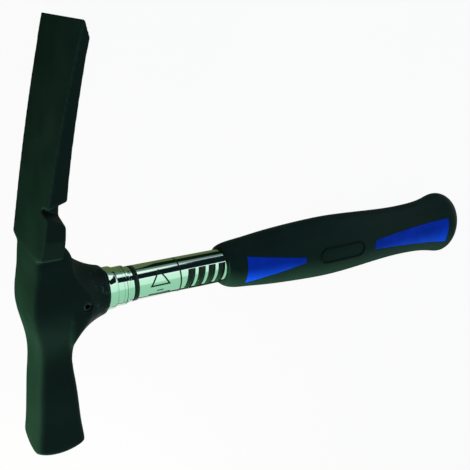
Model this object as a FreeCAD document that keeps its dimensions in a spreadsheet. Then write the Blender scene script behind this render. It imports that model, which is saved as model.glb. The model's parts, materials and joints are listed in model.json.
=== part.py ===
import FreeCAD, Part
# Mason's hammer: forged head with an adze blade and a square poll, on a steel tube with a moulded grip.
# Frame, in millimetres: the origin is the centre of the striking face. +X runs along the handle to its
# butt, +Y from the poll up to the cutting edge, and +Z out of the cheek above which the nail notch opens,
# so the hammer lies on its other side.
import math
import os
import Sketcher

doc = FreeCAD.newDocument("MasonsHammer")

# %% Driving dimensions
sheet = doc.addObject("Spreadsheet::Sheet", "Sizes")
SIZES = [
    # Striking face and poll
    ("face_depth", 23.3, "poll at the striking face, along the handle"),
    ("face_width", 24.2, "poll at the striking face, across the handle"),
    ("face_round", 2.9, "corner radius of the poll at the striking face"),
    ("face_flat", 10.0, "diameter of the flat middle of the striking face"),
    ("face_crown", 16.0, "radius that rounds the striking face off towards its edges"),
    ("neck_height", 50.2, "narrowest place of the poll, above the striking face"),
    ("neck_back", 9.95, "poll's outer side at the neck, behind the face's centre"),
    ("neck_front", 5.55, "poll's inner side at the neck, ahead of the face's centre"),
    ("neck_width", 23.6, "neck across the handle"),
    ("neck_round", 2.5, "corner radius of the neck"),
    # Eye
    ("axis_height", 75.7, "handle axis above the striking face"),
    ("eye_back", 14.2, "outer side of the eye behind the face's centre"),
    ("eye_front", 10.75, "block of the eye ahead of the face's centre"),
    ("cheek_width", 31.0, "over the two flat cheeks"),
    ("eye_round", 2.4, "corner radius of the eye"),
    ("shoulder_lift", 26.2, "foot of the shoulders above the handle's axis"),
    ("shoulder_rise", 1.7, "height of each shoulder"),
    ("shoulder_width", 42.0, "over the two shoulders"),
    ("shoulder_thickness", 10.3, "shoulders, along the handle"),
    ("flare_rise", 9.1, "from the shoulders up to the root of the blade"),
    ("shoulder_back", 12.35, "outer side at the shoulders behind the face's centre"),
    ("crown_front", 3.5, "block at the shoulders ahead of the face's centre"),
    ("web_rise", 11.3, "height of the web that runs out into the blade"),
    # Socket for the handle
    ("rim_reach", 23.3, "socket rim ahead of the face's centre"),
    ("rim_diameter", 23.4, "over the socket rim"),
    ("rim_round", 1.6, "rounding of the socket rim"),
    ("socket_flare", 12.3, "growth of the socket's radius from rim to root"),
    ("socket_hollow", 30.0, "radius of the socket's hollow side"),
    ("socket_length", 19.5, "flaring part of the socket"),
    ("bore_depth", 28.5, "blind bore for the handle tube"),
    ("tube_clearance", 0.1, "socket bore over tube, on the diameter"),
    # Blade
    ("edge_height", 203.7, "cutting edge above the striking face"),
    ("edge_width", 54.0, "cutting edge"),
    ("edge_front", 4.1, "cutting edge ahead of the face's centre"),
    ("edge_land", 0.5, "thickness left at the cutting edge"),
    ("blade_root_width", 44.6, "blade at its root"),
    ("blade_waist_width", 45.6, "blade above the nail notch"),
    ("blade_root_thickness", 9.6, "blade at its root"),
    ("blade_tip_thickness", 3.9, "blade before its bevel"),
    ("blade_sag", 1.15, "hollow of the blade's outer face along its length"),
    ("blade_round", 0.7, "broken edges of the blade"),
    ("bevel_height", 7.2, "ground bevel at the cutting edge"),
    # Nail notch in the blade's side
    ("notch_lift", 23.1, "bottom of the notch above the foot of the shoulders"),
    ("notch_depth_back", 7.7, "notch from the blade's side, level with the outer face's foot"),
    ("notch_depth_front", 11.4, "notch from the blade's side, level with the face's centre"),
    ("notch_mouth_back", 1.2, "mouth of the notch, level with the outer face's foot"),
    ("notch_mouth_front", 13.0, "mouth of the notch, level with the face's centre"),
    ("notch_root_back", 0.3, "bottom of the notch, level with the outer face's foot"),
    ("notch_root_front", 5.0, "bottom of the notch, level with the face's centre"),
    # Handle tube and what it holds
    ("pin_reach", 10.9, "retaining pin ahead of the face's centre"),
    ("pin_diameter", 4.0, "retaining pin"),
    ("pin_bore", 2.4, "bore of the rolled pin"),
    ("pin_slot", 0.5, "slot along the rolled pin"),
    ("pin_recess", 1.2, "pin ends below the cheeks"),
    ("tube_diameter", 17.2, "handle tube"),
    ("tube_wall", 1.5, "handle tube"),
    ("tube_end_gap", 12.0, "tube's end short of the grip's butt"),
    ("core_length", 46.0, "damping core in the tube's head end"),
    ("core_clearance", 0.1, "core and end plug under the tube's bore, on the diameter"),
    ("plug_length", 14.0, "end plug inside the tube"),
    ("plug_flange", 2.0, "flange of the end plug"),
    # Collar at the socket
    ("collar_length", 11.0, "collar on the tube at the socket"),
    ("collar_wall", 0.9, "collar"),
    ("collar_gap", 0.1, "collar clear of the socket rim"),
    ("collar_fit", 0.06, "collar over the tube, on the diameter"),
    ("bead_height", 0.85, "raised bead on the collar"),
    ("bead_length", 5.0, "raised bead on the collar"),
    # Printed sleeve
    ("label_gap", 1.2, "printed sleeve clear of the collar and grip"),
    ("label_wall", 0.12, "printed sleeve"),
    # Grip
    ("grip_reach", 90.2, "grip's mouth ahead of the face's centre"),
    ("grip_length", 185.2, "grip"),
    ("grip_drop", 0.95, "middle of the grip below the tube's axis"),
    ("mouth_diameter", 21.0, "grip's round mouth"),
    ("swell_height", 36.0, "middle swell of the grip in the plane of the head"),
    ("waist_height", 31.9, "waist of the grip in the plane of the head"),
    ("heel_height", 39.9, "heel of the grip in the plane of the head"),
    ("flat_share", 0.82, "grip's width across the head as a share of its height"),
    ("inlay_depth", 1.8, "thickness of the coloured inlays"),
    ("inlay_gap", 0.12, "groove round each inlay"),
    ("front_inlay_start", 10.2, "front inlays from the grip's mouth"),
    ("front_inlay_length", 38.6, "front inlays"),
    ("front_inlay_wide", 15.4, "front inlays at the mouth end"),
    ("front_inlay_narrow", 3.6, "front inlays at the other end"),
    ("rear_inlay_start", 103.2, "rear inlays from the grip's mouth"),
    ("rear_inlay_length", 65.2, "rear inlays"),
    ("rear_inlay_narrow", 6.2, "rear inlays at the waist end"),
    ("rear_inlay_wide", 16.4, "rear inlays at the heel end"),
    ("badge_place", 76.5, "middle of the badge frame from the grip's mouth"),
    ("badge_length", 35.0, "badge frame"),
    ("badge_height", 9.8, "badge frame"),
    ("badge_rim", 0.9, "width of the badge frame's raised line"),
    ("badge_rise", 0.5, "badge frame above the grip"),
    # Making
    ("overrun", 5.0, "how far the cutting shapes run past what they cut"),
]
for row, (alias, value, meaning) in enumerate(SIZES, start=2):
    sheet.set(f"A{row}", meaning)
    sheet.set(f"B{row}", str(value))
    sheet.setAlias(f"B{row}", alias)
doc.recompute()
ALIASES = {alias for alias, value, meaning in SIZES}
TINY = 1e-6


# %% Sketch helpers
def size(expression):
    """An expression in the sheet's aliases, written out for setExpression."""
    words = expression.replace("(", " ( ").replace(")", " ) ").split()
    return " ".join(f"Sizes.{word}" if word in ALIASES else word for word in words)


def value_of(expression):
    """The present value of an expression, to draw a sketch near its solved shape."""
    return float(sheet.evalExpression(size(expression)))


def between(start, end, share):
    """The expression for a value some share of the way from one size to another."""
    return f"( {start} ) * ( 1 - {share} ) + ( {end} ) * {share}"


def new_body(name):
    """A body whose label names its file."""
    body = doc.addObject("PartDesign::Body", name)
    body.Label = name
    return body


def new_sketch(body, name, role, lift=None, shift_y=None):
    """A sketch on one of the body's origin planes, moved along its normal or up within its plane."""
    sketch = body.newObject("Sketcher::SketchObject", name)
    plane = next(item for item in body.Origin.OriginFeatures if item.Role == role)
    sketch.AttachmentSupport = [(plane, "")]
    sketch.MapMode = "FlatFace"
    if lift:
        sketch.setExpression("AttachmentOffset.Base.z", size(lift))
    if shift_y:
        sketch.setExpression("AttachmentOffset.Base.y", size(shift_y))
    return sketch


def hold(sketch, kind, expression, *places):
    """A dimension of a sketch, driven by the sheet."""
    index = sketch.addConstraint(Sketcher.Constraint(kind, *places, value_of(expression)))
    sketch.setExpression(f"Constraints[{index}]", size(expression))


def hold_point(sketch, geometry, point, across, up):
    """Holds a point at a place measured from the sketch's origin."""
    hold(sketch, "DistanceX", across, -1, 1, geometry, point)
    hold(sketch, "DistanceY", up, -1, 1, geometry, point)


def arc_between(start, end, radius):
    """An arc from start to end, turning left, with its middle on the right of the line between them."""
    chord = end - start
    reach = math.sqrt(radius ** 2 - (chord.Length / 2) ** 2)
    across = FreeCAD.Vector(-chord.y, chord.x, 0) / chord.Length
    centre = (start + end) / 2 + across * reach
    first = math.atan2(start.y - centre.y, start.x - centre.x)
    last = math.atan2(end.y - centre.y, end.x - centre.x)
    return Part.ArcOfCircle(Part.Circle(centre, FreeCAD.Vector(0, 0, 1), radius), first, last)


def outline(sketch, corners, arc_radius=None):
    """A closed outline through corners given as pairs of expressions, its last side an arc if asked for."""
    first = sketch.GeometryCount
    last = first + len(corners) - 1
    points = [FreeCAD.Vector(value_of(across), value_of(up), 0) for across, up in corners]
    for index, start in enumerate(points, start=first):
        end = points[(index + 1 - first) % len(points)]
        if arc_radius and index == last:
            sketch.addGeometry(arc_between(start, end, value_of(arc_radius)))
        else:
            sketch.addGeometry(Part.LineSegment(start, end))
    for index in range(first, last):
        sketch.addConstraint(Sketcher.Constraint("Coincident", index, 2, index + 1, 1))
    sketch.addConstraint(Sketcher.Constraint("Coincident", last, 2, first, 1))
    for index, (across, up) in enumerate(corners, start=first):
        hold_point(sketch, index, 1, across, up)
    if arc_radius:
        hold(sketch, "Radius", arc_radius, last)


def circle(sketch, across, up, diameter):
    """A circle at a place measured from the sketch's origin."""
    centre = FreeCAD.Vector(value_of(across), value_of(up), 0)
    index = sketch.addGeometry(Part.Circle(centre, FreeCAD.Vector(0, 0, 1), value_of(diameter) / 2))
    hold(sketch, "Diameter", diameter, index)
    hold_point(sketch, index, 3, across, up)


def rounded_section(sketch, back, front, half, radius):
    """A rectangle with rounded corners, as wide on both sides of the handle's axis."""
    turn = value_of(radius)
    low = FreeCAD.Vector(value_of(back), -value_of(half), 0)
    high = FreeCAD.Vector(value_of(front), value_of(half), 0)
    across = FreeCAD.Vector(turn, 0, 0)
    up = FreeCAD.Vector(0, turn, 0)
    normal = FreeCAD.Vector(0, 0, 1)
    lower_front = FreeCAD.Vector(high.x, low.y, 0)
    upper_back = FreeCAD.Vector(low.x, high.y, 0)
    sides = [
        (low + across, lower_front - across, lower_front - across + up),
        (lower_front + up, high - up, high - up - across),
        (high - across, upper_back + across, upper_back + across - up),
        (upper_back - up, low + up, low + up + across),
    ]
    quarter = math.pi / 2
    for index, (leave, arrive, centre) in enumerate(sides):
        sketch.addGeometry(Part.LineSegment(leave, arrive))
        turning = Part.Circle(centre, normal, turn)
        sketch.addGeometry(Part.ArcOfCircle(turning, (index - 1) * quarter, index * quarter))
    for index in range(len(sides)):
        line, arc = 2 * index, 2 * index + 1
        following = (line + 2) % (2 * len(sides))
        sketch.addConstraint(Sketcher.Constraint("Tangent", line, 2, arc, 1))
        sketch.addConstraint(Sketcher.Constraint("Tangent", arc, 2, following, 1))
    sketch.addConstraint(Sketcher.Constraint("Horizontal", 0))
    sketch.addConstraint(Sketcher.Constraint("Vertical", 2))
    sketch.addConstraint(Sketcher.Constraint("Horizontal", 4))
    sketch.addConstraint(Sketcher.Constraint("Vertical", 6))
    for arc in (3, 5, 7):
        sketch.addConstraint(Sketcher.Constraint("Equal", 1, arc))
    hold(sketch, "Radius", radius, 1)
    hold(sketch, "DistanceY", f"0 - ( {half} )", -1, 1, 0, 1)
    hold(sketch, "DistanceX", front, -1, 1, 2, 1)
    hold(sketch, "DistanceY", half, -1, 1, 4, 1)
    hold(sketch, "DistanceX", back, -1, 1, 6, 1)


def loft(body, name, kind, sketches, ruled):
    """A loft through a body's sketches, in order."""
    feature = body.newObject(f"PartDesign::{kind}Loft", name)
    feature.Profile = sketches[0]
    feature.Sections = sketches[1:]
    feature.Ruled = ruled
    for sketch in sketches:
        sketch.Visibility = False
    doc.recompute()
    return feature


def pocket_through(body, name, sketch):
    """A cut along the sketch's normal through the whole body, both ways."""
    feature = body.newObject("PartDesign::Pocket", name)
    feature.Profile = sketch
    feature.Type = "ThroughAll"
    feature.Midplane = True
    doc.recompute()
    return feature


# %% Head: flaring socket with flat cheeks
AXIS = "axis_height"
head = new_body("hammer_head")
profile = new_sketch(head, "socket_profile", "XY_Plane", shift_y=AXIS)
outline(profile, [
    ("rim_reach", "rim_diameter / 2"),
    ("rim_reach", "0"),
    ("rim_reach - socket_length", "0"),
    ("rim_reach - socket_length", "rim_diameter / 2 + socket_flare"),
], arc_radius="socket_hollow")
socket = head.newObject("PartDesign::Revolution", "socket")
socket.Profile = profile
socket.ReferenceAxis = (profile, ["H_Axis"])
socket.Angle = 360
doc.recompute()
rim_place = value_of("rim_reach")
rim_edges = [f"Edge{number}" for number, edge in enumerate(socket.Shape.Edges, start=1)
             if edge.BoundBox.XMin > rim_place - TINY]
rim_rounding = head.newObject("PartDesign::Fillet", "rim_rounding")
rim_rounding.Base = (socket, rim_edges)
rim_rounding.setExpression("Radius", size("rim_round"))
doc.recompute()

sides = new_sketch(head, "cheek_sides", "YZ_Plane")
reach = "( rim_diameter / 2 + socket_flare + overrun )"
for sign in ("+", "-"):
    outline(sides, [
        (f"{AXIS} - {reach}", f"0 {sign} cheek_width / 2"),
        (f"{AXIS} + {reach}", f"0 {sign} cheek_width / 2"),
        (f"{AXIS} + {reach}", f"0 {sign} ( cheek_width / 2 + {reach} )"),
        (f"{AXIS} - {reach}", f"0 {sign} ( cheek_width / 2 + {reach} )"),
    ])
pocket_through(head, "cheek_flats", sides)

# %% Head: poll and eye, from the striking face up into the root of the blade
SHOULDER = "( axis_height + shoulder_lift )"
half_cheek = "cheek_width / 2"
half_neck = "neck_width / 2"
web_top = f"{SHOULDER} + web_rise"
web_back_share = 0.21
web_front_share = 0.87
web_width_share = 0.88
STATIONS = {
    "poll_end": ("0", "0 - face_depth / 2", "face_depth / 2", "face_width / 2", "face_round"),
    "neck": ("neck_height", "0 - neck_back", "neck_front", half_neck, "neck_round"),
    "eye": (AXIS, "0 - eye_back", "eye_front", half_cheek, "eye_round"),
    "crown": (SHOULDER, "0 - shoulder_back", "crown_front", half_cheek, "eye_round"),
    "web": (web_top, f"0 - shoulder_back + blade_root_thickness * {web_back_share}",
            f"0 - shoulder_back + blade_root_thickness * {web_front_share}",
            f"{half_cheek} * {web_width_share}", "blade_round"),
}
# Each row: two stations, how far up from one to the other, and how far the sizes have changed by there
HEAD_SECTION_SHARES = [
    ("poll_end", "neck", -0.24, -0.24), ("poll_end", "neck", 0, 0), ("poll_end", "neck", 0.24, 0.24),
    ("poll_end", "neck", 0.48, 0.49), ("poll_end", "neck", 0.74, 0.77), ("neck", "eye", 0, 0),
    ("neck", "eye", 0.33, 0.26),
    ("neck", "eye", 0.67, 0.74), ("eye", "crown", 0, 0), ("eye", "crown", 0.33, 0.26),
    ("eye", "crown", 0.67, 0.74), ("crown", "web", 0, 0), ("crown", "web", 0.5, 0.6),
    ("crown", "web", 1, 1),
]


def head_section(name, height, back, front, half, radius):
    """A rounded section of the head at one height above the striking face."""
    sketch = new_sketch(head, f"{name}_section", "XZ_Plane", lift=f"0 - ( {height} )")
    rounded_section(sketch, back, front, half, radius)
    return sketch


eye_sections = []
for number, (low, high, rise_share, share) in enumerate(HEAD_SECTION_SHARES):
    height = between(STATIONS[low][0], STATIONS[high][0], rise_share)
    sizes = [between(start, end, share) for start, end in zip(STATIONS[low][1:], STATIONS[high][1:])]
    eye_sections.append(head_section(f"eye_{number}", height, *sizes))
loft(head, "poll_and_eye", "Additive", eye_sections, False)

# %% Head: two narrow shoulders and the blade
blade_foot = f"{SHOULDER} + shoulder_rise + flare_rise"
half_root = "blade_root_width / 2"
half_waist = "blade_waist_width / 2"
root_lean_share = 0.15
root_back = f"( 0 - shoulder_back + blade_root_thickness * {root_lean_share} )"
shoulder_inset_share = 0.97
shoulder = head_section("shoulder", SHOULDER, "0 - shoulder_back",
                        "0 - shoulder_back + shoulder_thickness",
                        f"{half_cheek} * {shoulder_inset_share}", "blade_round")
ledge = head_section("ledge", f"{SHOULDER} + shoulder_rise", "0 - shoulder_back",
                     "0 - shoulder_back + shoulder_thickness", "shoulder_width / 2", "blade_round")


def blade_section(name, share, thin_share, half):
    """A section of the blade, some share of the way from its foot to the cutting edge."""
    height = between(blade_foot, "edge_height", share)
    hollow = f"blade_sag * 4 * {share} * ( 1 - {share} )"
    back = f"{between(root_back, 'edge_front', share)} - {hollow}"
    thick = between("blade_root_thickness", "blade_tip_thickness", thin_share)
    return head_section(name, height, back, f"{back} + {thick}", half, "blade_round")


foot = blade_section("foot", 0, 0, half_root)
loft(head, "shoulders", "Additive", [shoulder, ledge, foot], True)
# Each row: how far up the blade, how far it has thinned from root to tip, and how far its width has
# opened from the waist's to the edge's
BLADE_SECTION_SHARES = [(0.275, 0.38, 0), (0.574, 0.635, 0.33), (0.83, 0.855, 0.71), (1, 1, 1)]
blade_sections = [blade_section("root", 0, 0, half_root)]
for number, (rise_share, thin_share, opening_share) in enumerate(BLADE_SECTION_SHARES):
    half = between(half_waist, "edge_width / 2", opening_share)
    blade_sections.append(blade_section(f"blade_{number}", rise_share, thin_share, half))
loft(head, "blade", "Additive", blade_sections, False)

bevel_share = 0.72
bevel_front = f"edge_front + blade_tip_thickness * {bevel_share}"
bevel = new_sketch(head, "bevel_profile", "XY_Plane")
outline(bevel, [
    (bevel_front, "edge_height - bevel_height"),
    (f"{bevel_front} + overrun", "edge_height - bevel_height"),
    (f"{bevel_front} + overrun", "edge_height + overrun"),
    ("edge_front + edge_land", "edge_height + overrun"),
    ("edge_front + edge_land", "edge_height"),
])
pocket_through(head, "edge_bevel", bevel)

# %% Head: nail notch, flared towards the handle
# How much of the notch's mouth and of its bottom lies above the notch's height, at the blade's two faces
NOTCH_SHARES = {"back": (0.55, 0.7), "front": (0.41, 0)}
NOTCH = f"{SHOULDER} + notch_lift"


def notch_section(side, lift):
    """The notch's outline at one level through the blade, open at the blade's side."""
    sketch = new_sketch(head, f"notch_{side}", "YZ_Plane", lift=lift)
    depth, mouth, root = f"notch_depth_{side}", f"notch_mouth_{side}", f"notch_root_{side}"
    mouth_share, root_share = NOTCH_SHARES[side]
    low = f"{NOTCH} - {mouth} * ( 1 - {mouth_share} )"
    high = f"{NOTCH} + {mouth} * {mouth_share}"
    outline(sketch, [
        (f"{NOTCH} - {root} * ( 1 - {root_share} )", f"{half_waist} - {depth}"),
        (f"{NOTCH} + {root} * {root_share}", f"{half_waist} - {depth}"),
        (high, half_waist),
        (high, f"{half_waist} + overrun"),
        (low, f"{half_waist} + overrun"),
        (low, half_waist),
    ])
    return sketch


notch_sections = [notch_section("back", root_back), notch_section("front", None)]
loft(head, "nail_notch", "Subtractive", notch_sections, True)

# %% Head: crowned striking face, bore for the handle and pin hole
face_reach = "( face_flat / 2 + face_crown )"
crown_profile = new_sketch(head, "crown_profile", "XY_Plane")
outline(crown_profile, [
    (face_reach, "face_crown"),
    (face_reach, "0 - neck_height"),
    ("0", "0 - neck_height"),
    ("0", "0"),
    ("face_flat / 2", "0"),
], arc_radius="face_crown")
face_crowning = head.newObject("PartDesign::Groove", "face_crowning")
face_crowning.Profile = crown_profile
face_crowning.ReferenceAxis = (crown_profile, ["V_Axis"])
face_crowning.Angle = 360
doc.recompute()
bore = new_sketch(head, "bore_circle", "YZ_Plane", lift="rim_reach")
circle(bore, AXIS, "0", "tube_diameter + tube_clearance")
socket_bore = head.newObject("PartDesign::Pocket", "socket_bore")
socket_bore.Profile = bore
socket_bore.Type = "Length"
socket_bore.setExpression("Length", size("bore_depth"))
doc.recompute()
pin_place = new_sketch(head, "pin_circle", "XY_Plane")
circle(pin_place, "pin_reach", AXIS, "pin_diameter")
pocket_through(head, "pin_hole", pin_place)


# %% Round pieces on the handle's axis
def cylinder(name, start, diameter, length):
    """A cylinder along the handle's axis, from a place measured ahead of the face's centre."""
    item = doc.addObject("Part::Cylinder", name)
    item.Placement = FreeCAD.Placement(FreeCAD.Vector(), FreeCAD.Rotation(FreeCAD.Vector(0, 1, 0), 90))
    item.setExpression("Placement.Base.x", size(start))
    item.setExpression("Placement.Base.y", size(AXIS))
    item.setExpression("Radius", size(f"( {diameter} ) / 2"))
    item.setExpression("Height", size(length))
    return item


def cross_cylinder(name, diameter, length):
    """A cylinder across the head, through the middle of the retaining pin."""
    item = doc.addObject("Part::Cylinder", name)
    item.setExpression("Placement.Base.x", size("pin_reach"))
    item.setExpression("Placement.Base.y", size(AXIS))
    item.setExpression("Placement.Base.z", size(f"0 - ( {length} ) / 2"))
    item.setExpression("Radius", size(f"( {diameter} ) / 2"))
    item.setExpression("Height", size(length))
    return item


def boolean(name, kind, base, tool):
    """A cut, union or common of two objects."""
    item = doc.addObject(f"Part::{kind}", name)
    item.Base = base
    item.Tool = tool
    return item


def fuse_all(name, items):
    """One union of several objects."""
    item = doc.addObject("Part::MultiFuse", name)
    item.Shapes = items
    return item


tube_start = "rim_reach - bore_depth"
tube_end = "grip_reach + grip_length - tube_end_gap"
tube_bore = "( tube_diameter - 2 * tube_wall )"
tube_length = f"{tube_end} - ( {tube_start} )"
drill = cross_cylinder("pin_drill", "pin_diameter", "cheek_width")

tube_skin = cylinder("tube_skin", tube_start, "tube_diameter", tube_length)
tube_hollow = cylinder("tube_hollow", f"{tube_start} - overrun", tube_bore, f"{tube_length} + 2 * overrun")
handle_tube = boolean("handle_tube", "Cut", boolean("bare_tube", "Cut", tube_skin, tube_hollow), drill)

core_diameter = f"{tube_bore} - core_clearance"
core_stock = cylinder("core_stock", tube_start, core_diameter, "core_length")
damping_core = boolean("damping_core", "Cut", core_stock, drill)

plug_stem = cylinder("plug_stem", f"{tube_end} - plug_length", core_diameter, "plug_length")
plug_cap = cylinder("plug_cap", tube_end, "tube_diameter", "plug_flange")
tube_end_plug = boolean("tube_end_plug", "Fuse", plug_stem, plug_cap)

# %% Rolled retaining pin
pin_length = "cheek_width - 2 * pin_recess"
pin_stock = cross_cylinder("pin_stock", "pin_diameter", pin_length)
pin_core = cross_cylinder("pin_core", "pin_bore", "cheek_width")
slot = doc.addObject("Part::Box", "pin_slot_box")
slot.setExpression("Length", size("pin_diameter"))
slot.setExpression("Width", size("pin_slot"))
slot.setExpression("Height", size("cheek_width"))
slot.setExpression("Placement.Base.x", size("pin_reach"))
slot.setExpression("Placement.Base.y", size("axis_height - pin_slot / 2"))
slot.setExpression("Placement.Base.z", size("0 - cheek_width / 2"))
retaining_pin = boolean("retaining_pin", "Cut", boolean("pin_sleeve", "Cut", pin_stock, pin_core), slot)

# %% Collar with its raised bead
collar = new_body("tube_collar")
ring = new_sketch(collar, "collar_profile", "XY_Plane", shift_y=AXIS)
collar_start = "rim_reach + collar_gap"
collar_inside = "( tube_diameter + collar_fit ) / 2"
collar_outside = f"{collar_inside} + collar_wall"
bead_end = f"{collar_start} + bead_length"
outline(ring, [
    (collar_start, collar_inside),
    (f"{collar_start} + collar_length", collar_inside),
    (f"{collar_start} + collar_length", collar_outside),
    (collar_start, collar_outside),
])
collar_ring = collar.newObject("PartDesign::Revolution", "collar_ring")
collar_ring.Profile = ring
collar_ring.ReferenceAxis = (ring, ["H_Axis"])
collar_ring.Angle = 360
doc.recompute()
swelling = new_sketch(collar, "bead_profile", "XY_Plane", shift_y=AXIS)
# Each row: place along the bead, and how much of its height it has there
BEAD_SHARES = [(1, 0), (0.85, 0.8), (0.65, 1), (0.35, 1), (0.15, 0.8), (0, 0)]
bead_points = [(between(collar_start, bead_end, place_share), f"{collar_outside} + bead_height * {rise_share}")
               for place_share, rise_share in BEAD_SHARES]
outline(swelling, [
    (collar_start, f"{collar_outside} - collar_wall / 2"),
    (bead_end, f"{collar_outside} - collar_wall / 2"),
    *bead_points,
])
bead = collar.newObject("PartDesign::Revolution", "bead")
bead.Profile = swelling
bead.ReferenceAxis = (swelling, ["H_Axis"])
bead.Angle = 360
doc.recompute()

# %% Printed sleeve on the tube
label_start = f"{collar_start} + collar_length + label_gap"
label_length = f"grip_reach - label_gap - ( {label_start} )"
label_skin = cylinder("label_skin", label_start, "tube_diameter + 2 * label_wall", label_length)
label_hollow = cylinder("label_hollow", f"{label_start} - overrun", "tube_diameter", f"{label_length} + 2 * overrun")
printed_sleeve = boolean("printed_sleeve", "Cut", label_skin, label_hollow)

# %% Grip: swelling oval form, round at its mouth
MOUTH, SWELL, WAIST, HEEL = "mouth_diameter", "swell_height", "waist_height", "heel_height"
# Each row: place along the grip, the two heights it lies between, how far it is from one to the other,
# and how much of the grip's drop it has
GRIP_SECTION_SHARES = [
    (0, MOUTH, SWELL, 0, 0), (0.03, MOUTH, SWELL, 0.28, 0.6), (0.075, MOUTH, SWELL, 0.42, 0.8),
    (0.14, MOUTH, SWELL, 0.61, 0.85), (0.22, MOUTH, SWELL, 0.79, 0.9), (0.31, MOUTH, SWELL, 0.93, 1),
    (0.4, SWELL, WAIST, 0, 1.05), (0.48, SWELL, WAIST, 0.17, 1.05), (0.565, SWELL, WAIST, 0.54, 1),
    (0.645, SWELL, WAIST, 0.88, 0.95), (0.72, WAIST, HEEL, 0, 0.95), (0.78, WAIST, HEEL, 0.07, 0.95),
    (0.83, WAIST, HEEL, 0.22, 0.95), (0.875, WAIST, HEEL, 0.51, 0.95), (0.91, WAIST, HEEL, 0.85, 0.85),
    (0.937, WAIST, HEEL, 1, 0.6),
]
# Each row: place along the grip, its height there against the heel's, and its part of the drop
BUTT_SECTION_SHARES = [(0.96, 0.9, -0.2), (0.979, 0.71, -1.3), (0.992, 0.46, -2.2), (1, 0.2, -2.8)]


def oval(name, place, drop_share, height, width):
    """One oval section of the grip, standing across the handle's axis."""
    item = doc.addObject("Part::Ellipse", name)
    turn = FreeCAD.Rotation(FreeCAD.Vector(1, 1, 1), 120)
    item.Placement = FreeCAD.Placement(FreeCAD.Vector(), turn)
    item.setExpression("Placement.Base.x", size(place))
    item.setExpression("Placement.Base.y", size(f"{AXIS} - grip_drop * ( {drop_share} )"))
    item.setExpression("MajorRadius", size(height))
    item.setExpression("MinorRadius", size(width))
    return item


def grip_form(name, growth):
    """The grip's outer form, grown or shrunk all over."""
    ovals = []
    for number, (place_share, near, far, share, drop_share) in enumerate(GRIP_SECTION_SHARES):
        place = f"grip_reach + grip_length * {place_share}"
        near_width = near if near == MOUTH else f"{near} * flat_share"
        height = f"( {between(near, far, share)} ) / 2 + {growth}"
        width = f"( {between(near_width, f'{far} * flat_share', share)} ) / 2 + {growth}"
        ovals.append(oval(f"{name}_oval_{number}", place, drop_share, height, width))
    for number, (place_share, share, drop_share) in enumerate(BUTT_SECTION_SHARES, start=len(ovals)):
        place = f"grip_reach + grip_length * {place_share}"
        height = f"{HEEL} * {share} / 2 + {growth}"
        width = f"{HEEL} * flat_share * {share} / 2 + {growth}"
        ovals.append(oval(f"{name}_oval_{number}", place, drop_share, height, width))
    item = doc.addObject("Part::Loft", name)
    item.Sections = ovals
    item.Solid = True
    return item


grip_outside = grip_form("grip_outside", "0")
inlay_floor = grip_form("inlay_floor", "0 - inlay_depth")
raised_form = grip_form("raised_form", "badge_rise")
inlay_shell = boolean("inlay_shell", "Cut", grip_outside, inlay_floor)


# %% Grip: pockets, inlays and badge frames
def flat_sketch(name):
    """A sketch in the plane of the head, with its origin on the grip's middle line at the grip's mouth."""
    item = doc.addObject("Sketcher::SketchObject", name)
    item.setExpression("Placement.Base.x", size("grip_reach"))
    item.setExpression("Placement.Base.y", size(f"{AXIS} - grip_drop"))
    return item


def prism(name, base, side):
    """The sketch's outline run out past the grip on one side: 1 for the top, -1 for the bottom."""
    item = doc.addObject("Part::Extrusion", name)
    item.Base = base
    item.DirMode = "Custom"
    item.Dir = FreeCAD.Vector(0, 0, side)
    item.Solid = True
    item.FaceMakerClass = "Part::FaceMakerBullseye"
    item.setExpression("LengthFwd", size("heel_height"))
    return item


def wedge_sketch(name, start, length, near_width, far_width, gap):
    """An inlay's four-cornered outline, drawn in by a gap on every side."""
    item = flat_sketch(name)
    outline(item, [
        (f"{start} + {gap}", f"{gap} - {near_width} / 2"),
        (f"{start} + {length} - {gap}", f"{gap} - {far_width} / 2"),
        (f"{start} + {length} - {gap}", f"{far_width} / 2 - {gap}"),
        (f"{start} + {gap}", f"{near_width} / 2 - {gap}"),
    ])
    return item


INLAYS = [
    ("front_inlay", "front_inlay_start", "front_inlay_length", "front_inlay_wide", "front_inlay_narrow"),
    ("rear_inlay", "rear_inlay_start", "rear_inlay_length", "rear_inlay_narrow", "rear_inlay_wide"),
]
inlays = []
pocket_prisms = []
for name, *outline_sizes in INLAYS:
    pocket_sketch = wedge_sketch(f"{name}_pocket", *outline_sizes, "0")
    inlay_sketch = wedge_sketch(f"{name}_outline", *outline_sizes, "inlay_gap")
    for side_name, side in (("top", 1), ("bottom", -1)):
        node = f"{name}_{side_name}"
        pocket_prisms.append(prism(f"{node}_pocket_prism", pocket_sketch, side))
        inlays.append(boolean(node, "Common", inlay_shell, prism(f"{node}_prism", inlay_sketch, side)))


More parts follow.
